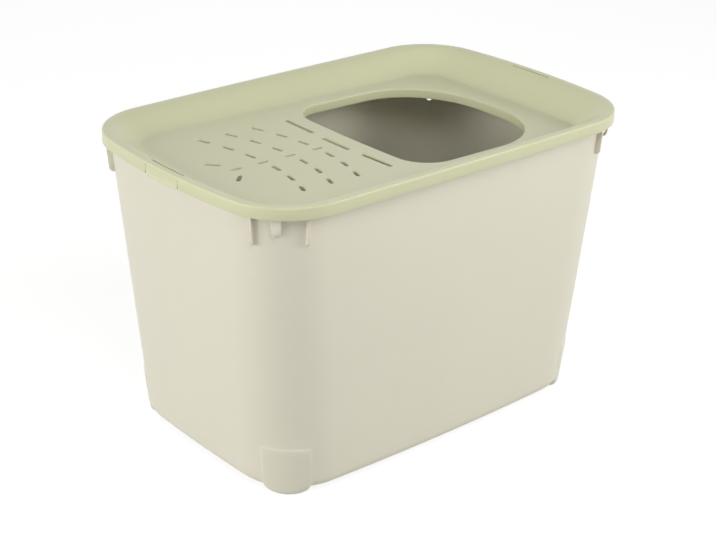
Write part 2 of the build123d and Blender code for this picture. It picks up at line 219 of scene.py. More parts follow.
def slab(profile, place, thickness):
    """A flat outline of (x, y) points as a plate centred on a place's XY plane."""
    solid = Solid()
    low = solid.loop(place @ Vector((x, y, -thickness / 2)) for x, y in profile)
    high = solid.loop(place @ Vector((x, y, thickness / 2)) for x, y in profile)
    solid.bridge(low, high)
    solid.faces += [tuple(reversed(low)), tuple(high)]
    return solid


def fill(solid, outer, holes, height, spacing):
    """Triangles inside a convex loop and outside convex holes, with a grid of points between them."""
    loops = [outer, *holes]
    numbers = [number for loop in loops for number in loop]
    owner = {number: place for place, loop in enumerate(loops) for number in loop}
    flat = [Vector(solid.points[number][:2]) for number in numbers]
    edges = []
    start = 0
    for loop in loops:
        edges += [(start + n, start + (n + 1) % len(loop)) for n in range(len(loop))]
        start += len(loop)
    grid = grid_points(solid, outer, spacing)
    inside = [point for point in grid if clear_of(solid, point, loops, spacing / 2)]
    corners, _, triangles, sources, _, _ = delaunay_2d_cdt(flat + inside, edges, [], 0, 1e-7)
    numbers += solid.loop((point.x, point.y, height(point.x, point.y)) for point in inside)
    for triangle in triangles:
        face = [numbers[sources[corner][0]] for corner in triangle]
        owners = {owner.get(number) for number in face}
        if len(owners) > 1 or owners in ({0}, {None}):
            solid.faces.append(tuple(face))


def grid_points(solid, outer, spacing):
    """A grid over the box round a loop."""
    xs = [solid.points[number][0] for number in outer]
    ys = [solid.points[number][1] for number in outer]
    columns = int((max(xs) - min(xs)) / spacing)
    rows = int((max(ys) - min(ys)) / spacing)
    for column in range(1, columns):
        for row in range(1, rows):
            yield Vector((min(xs) + column * spacing, min(ys) + row * spacing))


def clear_of(solid, point, loops, distance):
    """Whether a point lies inside the first loop, outside the others, and away from all of them."""
    for place, loop in enumerate(loops):
        corners = [Vector(solid.points[number][:2]) for number in loop]
        if any((corner - point).length < distance for corner in corners):
            return False
        turns = [(b - a).cross(point - a) > 0 for a, b in zip(corners, corners[1:] + corners[:1])]
        if all(turns) != (place == 0):
            return False
    return True


def add_piece(context, name, mesh, body, nodes, material):
    """Puts a mesh in the scene as a piece that rides on a body and stands for CAD nodes."""
    piece = bpy.data.objects.new(name, mesh)
    context.scene.collection.objects.link(piece)
    mesh.materials.append(material)
    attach(piece, body)
    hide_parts(*nodes)
    return piece


# ---------------------------------------------------------------- shader nodes
# numbers of the colour sockets of a Mix node
MIX_FACTOR = 0
MIX_FIRST = 6
MIX_SECOND = 7
MIX_RESULT = 2

WHITE = (1, 1, 1, 1)


class Value:
    """An output socket whose sums, products and quotients add Math nodes."""

    def __init__(self, tree, socket):
        self.tree = tree
        self.socket = socket

    def __add__(self, other):
        return self.tree.maths("ADD", self, other)

    def __sub__(self, other):
        return self.tree.maths("SUBTRACT", self, other)

    def __rsub__(self, other):
        return self.tree.maths("SUBTRACT", other, self)

    def __mul__(self, other):
        return self.tree.maths("MULTIPLY", self, other)

    def __truediv__(self, other):
        return self.tree.maths("DIVIDE", self, other)

    def __rtruediv__(self, other):
        return self.tree.maths("DIVIDE", other, self)

    __radd__ = __add__
    __rmul__ = __mul__


class Tree:
    """A node tree that is written from expressions."""

    def __init__(self, owner):
        owner.use_nodes = True
        self.tree = owner.node_tree
        self.tree.nodes.clear()

    def add(self, kind, settings=None, sockets=None, output=0):
        """Adds a node: its settings first, then the values or links of its sockets. Returns one output."""
        node = self.tree.nodes.new(kind)
        for name, value in (settings or {}).items():
            setattr(node, name, value)
        for name, value in (sockets or {}).items():
            if isinstance(value, Value):
                self.tree.links.new(value.socket, node.inputs[name])
            else:
                node.inputs[name].default_value = value
        return Value(self, node.outputs[output]) if node.outputs else node

    def maths(self, operation, first, second):
        """A Math node on two values."""
        return self.add("ShaderNodeMath", {"operation": operation}, {0: first, 1: second})

    def mixed(self, share, first, second):
        """A colour between two colours."""
        sockets = {MIX_FACTOR: share, MIX_FIRST: first, MIX_SECOND: second}
        return self.add("ShaderNodeMix", {"data_type": "RGBA"}, sockets, MIX_RESULT)


# noise in the plastic: how many features there are in a metre
CLOUD_SCALE = 7
FLOW_SCALE = 45
PEBBLE_SCALE = 420
SPARK_SCALE = 1500

# depth of the mould's grain in each plastic, and how much shinier the hooks are than the bin
BIN_GRAIN = 0.03 * MM
HOOK_GRAIN = 0.01 * MM
LID_GRAIN = 0.012 * MM
HOOK_SHEEN = 0.1

DEEP_TINT = 0.965
PALE_TINT = 1.03
PLASTIC_IOR = 1.49


def moulded_plastic(name, colour, roughness, grain):
    """Satin moulded plastic: a faint cloudiness in its colour, uneven sheen and the mould's fine grain."""
    material = bpy.data.materials.new(name)
    material.diffuse_color = (*colour, 1)
    tree = Tree(material)
    where = tree.add("ShaderNodeTexCoord", output="Object")

    def noise(scale, detail):
        return tree.add("ShaderNodeTexNoise", None, {"Vector": where, "Scale": scale, "Detail": detail})

    clouds = noise(CLOUD_SCALE, 3)
    flow = noise(FLOW_SCALE, 4)
    sparks = noise(SPARK_SCALE, 2)
    pebbles = noise(PEBBLE_SCALE, 2)
    deep = tuple(part * DEEP_TINT for part in colour)
    pale = tuple(min(part * PALE_TINT, 1) for part in colour)
    tint = tree.mixed(clouds * 0.7 + flow * 0.3, (*deep, 1), (*pale, 1))
    sheen = roughness - 0.05 + clouds * 0.04 + flow * 0.04 + sparks * 0.03
    relief = sparks * 0.4 + pebbles * 0.6
    bump = tree.add("ShaderNodeBump", None, {"Height": relief, "Distance": grain, "Strength": 1.0})
    surface = tree.add(
        "ShaderNodeBsdfPrincipled",
        None,
        {"Base Color": tint, "Roughness": sheen, "Normal": bump, "IOR": PLASTIC_IOR},
    )
    tree.add("ShaderNodeOutputMaterial", None, {"Surface": surface})
    return material


# ---------------------------------------------------------------- settings
class BinSettings(bpy.types.PropertyGroup):
    """Sizes and finish of the bin."""

    wall: FloatProperty(name="Wall", description="Thickness of the wall", default=2.4 * MM, unit="LENGTH")
    floor: FloatProperty(
        name="Floor", description="Thickness of the floor", default=2.8 * MM, unit="LENGTH"
    )
    base_rounding: FloatProperty(
        name="Base rounding", description="Radius of the bottom edge", default=14.6 * MM, unit="LENGTH"
    )
    pad_proud: FloatProperty(
        name="Pad relief", description="How far the foot pads stand out", default=1.3 * MM, unit="LENGTH"
    )
    pad_top: FloatProperty(
        name="Pad top", description="Height of the foot pads", default=67 * MM, unit="LENGTH"
    )
    colour: FloatVectorProperty(
        name="Colour",
        description="Colour of the bin",
        default=(0.745, 0.712, 0.585),
        subtype="COLOR",
        size=3,
    )
    roughness: FloatProperty(name="Roughness", description="Satin of the bin", default=0.42, min=0, max=1)


class HookSettings(bpy.types.PropertyGroup):
    """Sizes of the tongues that hold a liner."""

    length: FloatProperty(name="Length", description="Length of a tongue", default=23 * MM, unit="LENGTH")
    top_width: FloatProperty(
        name="Top width", description="Width at its root", default=13.5 * MM, unit="LENGTH"
    )
    tip_width: FloatProperty(
        name="Tip width", description="Width near its tip", default=8 * MM, unit="LENGTH"
    )
    thickness: FloatProperty(
        name="Thickness", description="Thickness of a tongue", default=2.2 * MM, unit="LENGTH"
    )


class LidSettings(bpy.types.PropertyGroup):
    """Sizes and finish of the lid."""

    thickness: FloatProperty(
        name="Thickness", description="Thickness of the lid", default=2.4 * MM, unit="LENGTH"
    )
    dish_width: FloatProperty(
        name="Dish wall", description="Width of the curve from rim to floor", default=49 * MM, unit="LENGTH"
    )
    lip_depth: FloatProperty(
        name="Lip depth", description="Depth of the lip round the entry", default=12.2 * MM, unit="LENGTH"
    )
    lip_rounding: FloatProperty(
        name="Lip rounding", description="Radius of the lip's top edge", default=1.8 * MM, unit="LENGTH"
    )
    slot_rounding: FloatProperty(
        name="Slot rounding",
        description="Radius of the top edge of each drain slot",
        default=0.6 * MM,
        unit="LENGTH",
    )
    colour: FloatVectorProperty(
        name="Colour", description="Colour of the lid", default=(0.645, 0.65, 0.42), subtype="COLOR", size=3
    )
    roughness: FloatProperty(name="Roughness", description="Satin of the lid", default=0.36, min=0, max=1)


class LatchSettings(bpy.types.PropertyGroup):
    """Relief of the latch tabs."""

    border: FloatProperty(
        name="Border", description="Width of the raised border", default=2.4 * MM, unit="LENGTH"
    )
    proud: FloatProperty(name="Relief", description="Height of the border", default=0.4 * MM, unit="LENGTH")
    sunk: FloatProperty(name="Recess", description="Depth of the panel", default=0.4 * MM, unit="LENGTH")


class StageSettings(bpy.types.PropertyGroup):
    """Floor, light and camera."""

    floor_colour: FloatVectorProperty(
        name="Floor", description="Colour of the floor", default=(0.5, 0.49, 0.47), subtype="COLOR", size=3
    )
    daylight: FloatProperty(
        name="Daylight", description="Strength of the light from the horizon", default=0.84, min=0
    )
    key: FloatProperty(
        name="Key light", description="Power of the main light", default=42, min=0, unit="POWER"
    )
    back: FloatProperty(
        name="Back light", description="Power of the light behind", default=2, min=0, unit="POWER"
    )
    top: FloatProperty(
        name="Top light", description="Power of the high light", default=4.2, min=0, unit="POWER"
    )
    fill: FloatProperty(
        name="Fill light", description="Power of the second light", default=20, min=0, unit="POWER"
    )


# ---------------------------------------------------------------- bin
FLANGE_TOP = BIN_HIGH.z
FLANGE_UNDERSIDE = FLANGE_TOP - 2.4 * MM
FLANGE = LID.inset(3.2 * MM)
BEAD_WIDTH = 2.2 * MM
BEAD_DROP = 3.3 * MM

# heights at which the wall has a ring of points: on the plain wall, on the foot pads and inside
WALL_STOPS = (FLANGE_UNDERSIDE, 330 * MM, 250 * MM, 170 * MM, 110 * MM, 80 * MM)
PAD_STOPS = (55 * MM, 42 * MM, 30 * MM)
INSIDE_STOPS = (60 * MM, 150 * MM, 250 * MM, 340 * MM, FLANGE_TOP)

# softness of a pad's top edge, and the stretch where its crisp sides turn into a rounded underside
PAD_TOP_EDGE = 5 * MM
PAD_FADE_TOP = 48 * MM
PAD_FADE_HEIGHT = 42 * MM

# rings of points underneath, as insets on the flat base and on a foot
FOOT_ROUNDING = 6 * MM
FOOT_DEPTH = 34 * MM
SOLE_RINGS = ((22 * MM, 14 * MM), (26 * MM, FOOT_DEPTH - FOOT_ROUNDING - 1 * MM))
LAST_RING = 48 * MM

RIB_THICKNESS = 3 * MM
RIB_LOW = 327 * MM
RIB_CHAMFER = 3.4 * MM
RIB_DEPTH = 6.3 * MM
RIB_ROOT = 6 * MM
RIB_ROUNDING = 0.45 * MM
RIB_END_TURN = radians(17.5)
RIB_SIDE_TURN = radians(28)
HOLE_RADIUS = 4 * MM
HOLE_ASIDE = 5 * MM
HOLE_DROP = 55.6 * MM
HOLE_SIDES = 32
HOLE_REACH = 8 * MM


def arc_steps(count):
    """Cosines and sines of a quarter turn, from 0 to 90 degrees."""
    return [(cos(pi / 2 * n / count), sin(pi / 2 * n / count)) for n in range(count + 1)]


def pad_shares():
    """How far each point of an outline lies on a foot pad, from 0 to 1.

    The first list is for the side of the pad and the second for its rounded underside.
    """
    cx, cy = BASE.corner_centre()
    turns = [abs(atan2(abs(y) - cy, abs(x) - cx) - pi / 4) / PAD_HALF_TURN for x, y in BASE.points()]
    side = [smooth_step((1 - turn) * PAD_HALF_TURN / PAD_EDGE + 0.5) for turn in turns]
    return side, [sqrt(max(1 - turn**2, 0)) for turn in turns]


def outer_section(settings):
    """Section of the bin's outside from the rim down to the middle of its base.

    Each stop is (inset, height) on the plain wall, then on a foot pad.
    """
    proud = -settings.pad_proud
    stops = [((0, z), (0, z)) for z in WALL_STOPS]
    for share in (0, 0.25, 0.5, 0.75, 1):
        z = settings.pad_top - PAD_TOP_EDGE * share
        stops.append(((0, z), (proud * smooth_step(share), z)))
    stops += [((0, z), (proud, z)) for z in PAD_STOPS]
    radius = settings.base_rounding
    plain = [(radius * (1 - c), BASE_Z + radius * (1 - s)) for c, s in arc_steps(12)]
    foot = [(proud, BASE_Z + radius - (radius * n / 4)) for n in range(4)]
    foot += [(proud + FOOT_ROUNDING * (1 - c), FOOT_ROUNDING * (1 - s)) for c, s in arc_steps(8)]
    stops += zip(plain, foot)
    stops += [((base_inset, BASE_Z), (foot_inset, 0)) for base_inset, foot_inset in SOLE_RINGS]
    for c, s in arc_steps(4):
        base_inset = FOOT_DEPTH - FOOT_ROUNDING * (1 - s)
        stops.append(((base_inset, BASE_Z), (FOOT_DEPTH - FOOT_ROUNDING * c, BASE_Z * (1 - c))))
    stops.append(((LAST_RING, BASE_Z), (LAST_RING, BASE_Z)))
    return stops


def inner_section(settings):
    """Section of the bin's inside from the floor up to the rim, as (inset, height)."""
    low = BASE_Z + settings.floor
    radius = settings.base_rounding - settings.wall
    stops = [(settings.wall + radius * (1 - s), low + radius * (1 - c)) for c, s in arc_steps(10)]
    return stops + [(settings.wall, z) for z in INSIDE_STOPS]


def bin_shell(settings):
    """The bin's wall, base, foot pads and rim as one closed form."""
    solid = Solid()
    crisp, soft = pad_shares()
    rim = []
    low = FLANGE_UNDERSIDE - BEAD_DROP
    for inset, z in ((BEAD_WIDTH, FLANGE_UNDERSIDE), (BEAD_WIDTH, low), (0, low), (0, FLANGE_TOP)):
        rim.append(solid.loop((x, y, z) for x, y in FLANGE.inset(inset).points()))
    rim.reverse()
    outside = []
    for (plain_inset, plain_z), (foot_inset, foot_z) in outer_section(settings):
        plain = bin_outline(plain_z).inset(plain_inset).points()
        foot = bin_outline(foot_z).inset(foot_inset).points()
        fading = smooth_step((PAD_FADE_TOP - plain_z) / PAD_FADE_HEIGHT)
        loop = []
        for sharp, faded, (px, py), (fx, fy) in zip(crisp, soft, plain, foot):
            share = sharp + (faded - sharp) * fading
            z = plain_z + (foot_z - plain_z) * share
            loop.append((px + (fx - px) * share, py + (fy - py) * share, z))
        outside.append(solid.loop(loop))
    inside = []
    for inset, z in inner_section(settings):
        inside.append(solid.loop((x, y, z) for x, y in bin_outline(z).inset(inset).points()))
    solid.skin([inside[-1], *rim, *outside])
    solid.skin(inside)
    solid.faces += [tuple(outside[-1]), tuple(inside[0])]
    return solid


def corner_frame(name):
    """Place on the wall at the middle of a corner: X along the wall, Y up the wall and Z outwards."""
    sx, sy = CORNERS[name]
    reaches = []
    for outline in (BASE, MOUTH):
        cx, cy = outline.corner_centre()
        reaches.append((cx + cy) * sin(pi / 4) + outline.corner)
    lean = atan((reaches[1] - reaches[0]) / (MOUTH_Z - BASE_Z))
    out = Vector((sx, sy, 0)).normalized()
    along = Vector((-out.y, out.x, 0))
    outwards = Vector((out.x * cos(lean), out.y * cos(lean), -sin(lean)))
    cx, cy = MOUTH.corner_centre()
    step = MOUTH.corner * sin(pi / 4)
    place = Matrix((along, outwards.cross(along), outwards)).transposed().to_4x4()
    place.translation = (sx * (cx + step), sy * (cy + step), MOUTH_Z)
    return place


def rib_reach(z, heading):
    """Distance from the centre of the mouth's corner arc to the outer edge of a rib."""
    outline = bin_outline(z).inset(-RIB_DEPTH)
    cx, cy = MOUTH.corner_centre()
    ox, oy = outline.corner_centre()
    along = (ox - cx) * abs(cos(heading)) + (oy - cy) * abs(sin(heading))
    return along + sqrt(outline.corner**2 - (ox - cx) ** 2 - (oy - cy) ** 2 + along**2)


def rib(name, turn):
    """Upright rib under the flange with a slanted foot, turned from the corner towards the side wall."""
    sx, sy = CORNERS[name]
    cx, cy = MOUTH.corner_centre()
    heading = atan2(sy, sx) + sx * sy * turn
    out = Vector((cos(heading), sin(heading), 0))
    place = Matrix((out, Vector((0, 0, 1)), Vector((out.y, -out.x, 0)))).transposed().to_4x4()
    place.translation = (sx * cx, sy * cy, 0)
    inner = MOUTH.corner - RIB_ROOT
    low = RIB_LOW + RIB_CHAMFER
    high = (FLANGE_UNDERSIDE + FLANGE_TOP) / 2
    profile = [
        (inner, RIB_LOW),
        (rib_reach(low, heading) - RIB_CHAMFER, RIB_LOW),
        (rib_reach(low, heading), low),
        (rib_reach(high, heading), high),
        (inner, high),
    ]
    return bevelled(slab(profile, place, RIB_THICKNESS), RIB_ROUNDING)


HOOK_ASIDE = 3.6 * MM
HOOK_STANDOFF = 6.2 * MM
HOOK_TOP = 0.4 * MM
HOOK_GAP = 0.4 * MM
BOSS_WIDTH = 15 * MM
BOSS_TOP = FLANGE_TOP - 1.2 * MM
BOSS_INSET = 2 * MM
BOSS_ROUNDING = 0.4 * MM


def hook_frame(name):
    """The corner's place, moved along the wall a little way towards the side wall."""
    sx, sy = CORNERS[name]
    return corner_frame(name) @ Matrix.Translation((sx * sy * HOOK_ASIDE, 0, 0))


def hook_boss(name):
    """Block under the flange that a tongue hangs from."""
    low = HOOK_TOP + HOOK_GAP
    high = BOSS_TOP - MOUTH_Z
    half = BOSS_WIDTH / 2
    profile = [(-half, low), (half, low), (half, high), (-half, high)]
    place = hook_frame(name) @ Matrix.Translation((0, 0, (HOOK_STANDOFF - BOSS_INSET) / 2))
    return bevelled(slab(profile, place, HOOK_STANDOFF + BOSS_INSET), BOSS_ROUNDING)


def cut_hole(mesh, place):
    """The walls with the round hanging hole cut through them."""
    rod = Solid()
    turns = [2 * pi * n / HOLE_SIDES for n in range(HOLE_SIDES)]
    circle = [(HOLE_RADIUS * cos(turn), HOLE_RADIUS * sin(turn)) for turn in turns]
    ends = (-HOLE_REACH, HOLE_REACH)
    loops = [rod.loop(place @ Vector((x, y, depth)) for x, y in circle) for depth in ends]
    rod.skin(loops)
    rod.faces += [tuple(loops[0]), tuple(loops[1])]
    cutter = bpy.data.objects.new("hole_cutter", rod.mesh("hole_cutter"))
    body = bpy.data.objects.new("hole_body", mesh)
    for thing in (cutter, body):
        bpy.context.scene.collection.objects.link(thing)
    cut = body.modifiers.new("hole", "BOOLEAN")
    cut.operation = "DIFFERENCE"
    cut.solver = "EXACT"
    cut.object = cutter
    bpy.context.view_layer.update()
    result = bpy.data.meshes.new_from_object(body.evaluated_get(bpy.context.evaluated_depsgraph_get()))
    for thing in (cutter, body):
        bpy.data.objects.remove(thing)
    return result


class AddBin(bpy.types.Operator):
    """Builds the bin with its foot pads, rim, ribs and hanging hole"""

    bl_idname = "litter_box.add_bin"
    bl_label = "Bin"

    def execute(self, context):
        settings = context.scene.litter_box_bin
        hole = corner_frame("back_right") @ Matrix.Translation((HOLE_ASIDE, -HOLE_DROP, 0))
        walls = cut_hole(bin_shell(settings).mesh("bin_walls"), hole)
        solid = Solid()
        solid.points = [tuple(point.co) for point in walls.vertices]
        solid.faces = [tuple(face.vertices) for face in walls.polygons]
        for name in CORNERS:
            solid.add(rib(name, RIB_SIDE_TURN))
            solid.add(rib(name, -RIB_END_TURN))
            solid.add(hook_boss(name))
        material = moulded_plastic("ivory_plastic", tuple(settings.colour), settings.roughness, BIN_GRAIN)
        mesh = solid.mesh("bin_shell")
        add_piece(context, "bin_shell", mesh, "bin", ["litter_bin"], material)
        return {"FINISHED"}


# ---------------------------------------------------------------- liner hooks
TONGUE_STRAIGHT = 14 * MM + HOOK_TOP
TONGUE_CURL = 9.9 * MM
TONGUE_CROWN = 0.5 * MM
TONGUE_STEPS = 28
TONGUE_SIDES = 28
TONGUE_CROWDING = 1.6
FLAT_EDGES = 0.45
FLAT_FACES = 0.6


def tongue(name, settings):
    """Tapered tongue with softly rounded edges, whose spoon-shaped tip curls towards the wall."""
    place = hook_frame(name)
    middle = HOOK_STANDOFF - settings.thickness / 2
    solid = Solid()
    loops = []
    for step in range(TONGUE_STEPS + 1):
        travel = settings.length * (1 - (1 - step / TONGUE_STEPS) ** TONGUE_CROWDING)
        bend = max(travel - TONGUE_STRAIGHT, 0) / TONGUE_CURL
        y = HOOK_TOP - min(travel, TONGUE_STRAIGHT) - TONGUE_CURL * sin(bend)
        z = middle - TONGUE_CURL * (1 - cos(bend))
        normal = Vector((0, -sin(bend), cos(bend)))
        share = travel / settings.length
        half = (settings.top_width + (settings.tip_width - settings.top_width) * share) / 2
        left = min((settings.length - travel) / (settings.tip_width / 2), 1)
        half *= sqrt(max(1 - (1 - left) ** 2, 0.0004))
        thin = settings.thickness / 2 * sqrt(max(1 - (1 - min(left * 3, 1)) ** 2, 0.01))
        crown = TONGUE_CROWN * smooth_step(share)
        loop = []
        for turn in (2 * pi * n / TONGUE_SIDES for n in range(TONGUE_SIDES)):
            across = half * abs(cos(turn)) ** FLAT_EDGES * (1 if cos(turn) > 0 else -1)
            through = thin * abs(sin(turn)) ** FLAT_FACES * (1 if sin(turn) > 0 else -1)
            through -= crown * (across / max(half, 1e-6)) ** 2
            loop.append(place @ (Vector((across, y, z)) + normal * through))
        loops.append(solid.loop(loop))
    solid.skin(loops)
    solid.faces += [tuple(loops[0]), tuple(loops[-1])]
    return solid


class AddHooks(bpy.types.Operator):
    """Builds the tongues that hang at the corners of the bin"""

    bl_idname = "litter_box.add_hooks"
    bl_label = "Liner hooks"

    def execute(self, context):
        settings = context.scene.litter_box_hooks
        finish = context.scene.litter_box_bin
        roughness = finish.roughness - HOOK_SHEEN
        material = moulded_plastic("ivory_hook_plastic", tuple(finish.colour), roughness, HOOK_GRAIN)
        for name in CORNERS:
            piece = f"hook_tongue_{name}"
            mesh = tongue(name, settings).mesh(piece, 60)
            add_piece(context, piece, mesh, f"{name}_hook", [f"liner_hook_{name}"], material)
        return {"FINISHED"}


# ---------------------------------------------------------------- lid
SKIRT_LOW = 362 * MM
SKIRT_THICKNESS = 2.3 * MM
SKIRT_EDGE = 0.5 * MM
RIM_TOP = LID_HIGH.z
RIM_ROUNDING = 2.4 * MM
RIM_WIDTH = 4.8 * MM
RIM_BEND = 6.2 * MM
NOTCH_TOP = 373.05 * MM
DISH_STEPS = 22
SLOT_OUTER = 7.8 * MM
SLOT_INNER = 10 * MM
FLOOR_Z = 349.2 * MM
FLOOR_FALL = 0.019
FLOOR_HOLLOW = 1.2 * MM / (93 * MM) ** 2
TOP_SPACING = 9 * MM
UNDERSIDE_SPACING = 14 * MM

ENTRY_LEFT = -17 * MM
ENTRY_RIGHT = 210.8 * MM
ENTRY_HALF_WIDTH = 123.4 * MM
ENTRY_NEAR_RADIUS = 42 * MM
ENTRY_FAR_RADIUS = 104 * MM
ENTRY_END_RADIUS = 600 * MM
LIP_THICKNESS = 2.2 * MM

COLUMN_APEXES = (-150.7 * MM, -111.2 * MM, -72.4 * MM)
COLUMN_RADIUS = 235 * MM
COLUMN_OFFSETS = (24.7 * MM, 59 * MM, 92.8 * MM)
DASH = (18 * MM, 5.4 * MM)
MIDDLE_DASHES = (-190.8 * MM, -152.7 * MM, -112.6 * MM, -72.8 * MM)
MIDDLE_DASH = (15.5 * MM, 5 * MM)
TAIL_PLACE = (-205.5 * MM, 25.7 * MM)
TAIL_DASH = (20 * MM, 5.4 * MM)
SLOT_HALF_SIDES = 10
MIDDLE_SLOT_X = -44 * MM
MIDDLE_SLOT = (49.5 * MM, 6.6 * MM)
SIDE_SLOT_PLACE = (-42 * MM, 71.8 * MM)
SIDE_SLOT = (54 * MM, 6.6 * MM)


def floor_height(x, y):
    """Top of the tread: it falls towards the entry end and is hollow along its middle."""
    return FLOOR_Z - FLOOR_FALL * x + FLOOR_HOLLOW * y * y


def dish_share(distance, settings):
    """How far the dish wall has come down at a distance in from the outline."""
    return smooth_step((distance - RIM_WIDTH) / (settings.dish_width - RIM_WIDTH))


def top_loop(solid, distance, settings, drop=0.0):
    """Loop on the top of the lid at a distance in from its outline, or below it by a drop."""
    share = dish_share(distance, settings)
    points = LID.inset(distance).points()
    return solid.loop((x, y, RIM_TOP + (floor_height(x, y) - RIM_TOP) * share - drop) for x, y in points)


def under_loop(solid, distance, settings):
    """Loop on the underside, a thickness below the top as measured across the wall."""
    reach = settings.dish_width - RIM_WIDTH
    share = (distance - RIM_WIDTH) / reach
    slope = 6 * share * (1 - share) * (RIM_TOP - FLOOR_Z) / reach
    return top_loop(solid, distance, settings, settings.thickness * hypot(1, slope))


def window(loop_points):
    """Places of a loop that lie within the latch at either end, from its first to its last stop."""
    ends = []
    reach = LATCH_HALF_WIDTH + 0.1 * MM
    for side in ENDS.values():
        inside = [n for n, (x, y) in enumerate(loop_points) if x * side > 0 and abs(y) < reach]
        ends.append(sorted(inside, key=lambda n: side * loop_points[n][1]))
    return ends


def slot_loop(x, y, angle, size, grow=0.0):
    """Outline of a slot with round ends, as (x, y) points."""
    length, width = size
    radius = width / 2 + grow
    straight = (length - width) / 2
    points = []
    for n in range(2 * SLOT_HALF_SIDES):
        turn = pi * (n + 0.5) / SLOT_HALF_SIDES - pi / 2
        px = (straight if n < SLOT_HALF_SIDES else -straight) + radius * cos(turn)
        py = radius * sin(turn)
        points.append((x + px * cos(angle) - py * sin(angle), y + px * sin(angle) + py * cos(angle)))
    return points


def drain_slots():
    """Place, angle and size of every slot in the tread."""
    slots = [(x, 0, 0, MIDDLE_DASH) for x in MIDDLE_DASHES]
    slots.append((MIDDLE_SLOT_X, 0, pi / 2, MIDDLE_SLOT))
    for side in (-1, 1):
        slots.append((SIDE_SLOT_PLACE[0], side * SIDE_SLOT_PLACE[1], pi / 2, SIDE_SLOT))
        slots.append((TAIL_PLACE[0], side * TAIL_PLACE[1], -side * pi / 4, TAIL_DASH))
        for apex in COLUMN_APEXES:
            for offset in COLUMN_OFFSETS:
                x = apex - offset**2 / (2 * COLUMN_RADIUS)
                slots.append((x, side * offset, pi / 2 + side * atan(offset / COLUMN_RADIUS), DASH))
    return slots


def entry_loop(offset):
    """D-shaped outline of the entry, moved outwards by an offset, as (x, y) points."""
    half = ENTRY_HALF_WIDTH + offset
    near = ENTRY_NEAR_RADIUS + offset
    far = ENTRY_FAR_RADIUS + offset
    end = ENTRY_END_RADIUS + offset
    end_x = ENTRY_RIGHT - ENTRY_END_RADIUS
    far_y = ENTRY_HALF_WIDTH - ENTRY_FAR_RADIUS
    far_x = end_x + sqrt((ENTRY_END_RADIUS - ENTRY_FAR_RADIUS) ** 2 - far_y**2)
    near_x = ENTRY_LEFT + ENTRY_NEAR_RADIUS
    near_y = ENTRY_HALF_WIDTH - ENTRY_NEAR_RADIUS
    join = atan2(far_y, far_x - end_x)
    upper = [(end_x + end * cos(join * n / 5), end * sin(join * n / 5)) for n in range(5)]
    for n in range(25):
        turn = join + (pi / 2 - join) * n / 24
        upper.append((far_x + far * cos(turn), far_y + far * sin(turn)))
    upper += [(far_x + (near_x - far_x) * n / 8, half) for n in range(1, 8)]
    for n in range(17):
        turn = pi / 2 + pi / 2 * n / 16
        upper.append((near_x + near * cos(turn), near_y + near * sin(turn)))
    upper += [(near_x - near, near_y * (1 - n / 10)) for n in range(1, 11)]
    return upper + [(x, -y) for x, y in reversed(upper[1:-1])]


def sunk_loop(solid, points, depth):
    """Loop at a depth below the tread."""
    return solid.loop((x, y, floor_height(x, y) - depth) for x, y in points)


def rim_and_dish(solid, settings):
    """Skirt, rim and dish wall. Returns the loops at the edge of the tread, on its top and below it."""
    edge = SKIRT_EDGE

    def upright(distance, z):
        """Loop at a height, a distance in from the outline."""
        return solid.loop((x, y, z) for x, y in LID.inset(distance).points())

    inner = SKIRT_THICKNESS
    skirt = [upright(inner, NOTCH_TOP), upright(inner, SKIRT_LOW + edge)]
    skirt += [upright(inner - edge * 0.3, SKIRT_LOW + edge * 0.3), upright(inner - edge, SKIRT_LOW)]
    skirt += [upright(edge, SKIRT_LOW), upright(edge * 0.3, SKIRT_LOW + edge * 0.3)]
    skirt += [upright(0, SKIRT_LOW + edge), upright(0, NOTCH_TOP)]
    rim_low = RIM_TOP - RIM_ROUNDING
    rim = [upright(RIM_ROUNDING * (1 - c), rim_low + RIM_ROUNDING * s) for c, s in arc_steps(10)]
    top = [top_loop(solid, RIM_WIDTH, settings), top_loop(solid, RIM_BEND, settings)]
    slot_top = [top_loop(solid, SLOT_OUTER, settings), top_loop(solid, SLOT_INNER, settings)]
    span = settings.dish_width - SLOT_INNER
    reaches = [SLOT_INNER + span * n / DISH_STEPS for n in range(1, DISH_STEPS + 1)]
    wall_top = [top_loop(solid, reach, settings) for reach in reaches]
    under = [upright(SKIRT_THICKNESS, NOTCH_TOP + 0.6 * MM)]
    slot_under = [under_loop(solid, SLOT_OUTER, settings), under_loop(solid, SLOT_INNER, settings)]
    wall_under = [under_loop(solid, reach, settings) for reach in reaches]

    latches = window(LID.points())
    skip = {place for inside in latches for place in inside if (place + 1) % RING_SIZE in inside}
    for one, other in zip(skirt, skirt[1:]):
        solid.bridge(one, other, skip=skip)
    solid.skin([skirt[-1], *rim, *top, slot_top[0]])
    solid.bridge(*slot_top, skip=skip)
    solid.skin([slot_top[1], *wall_top])
    solid.skin([skirt[0], *under, slot_under[0]])
    solid.bridge(*slot_under, skip=skip)
    solid.skin([slot_under[1], *wall_under])
    walls = ((skirt[0], skirt[-1]), (slot_top[0], slot_under[0]), (slot_top[1], slot_under[1]))
    slot_ring = (*slot_top, *reversed(slot_under))
    for inside in latches:
        for one, other in walls:
            solid.bridge([one[n] for n in inside], [other[n] for n in inside], closed=False)
        for place in (inside[0], inside[-1]):
            solid.faces.append(tuple(loop[place] for loop in skirt))
            solid.faces.append(tuple(loop[place] for loop in slot_ring))
    return wall_top[-1], wall_under[-1]


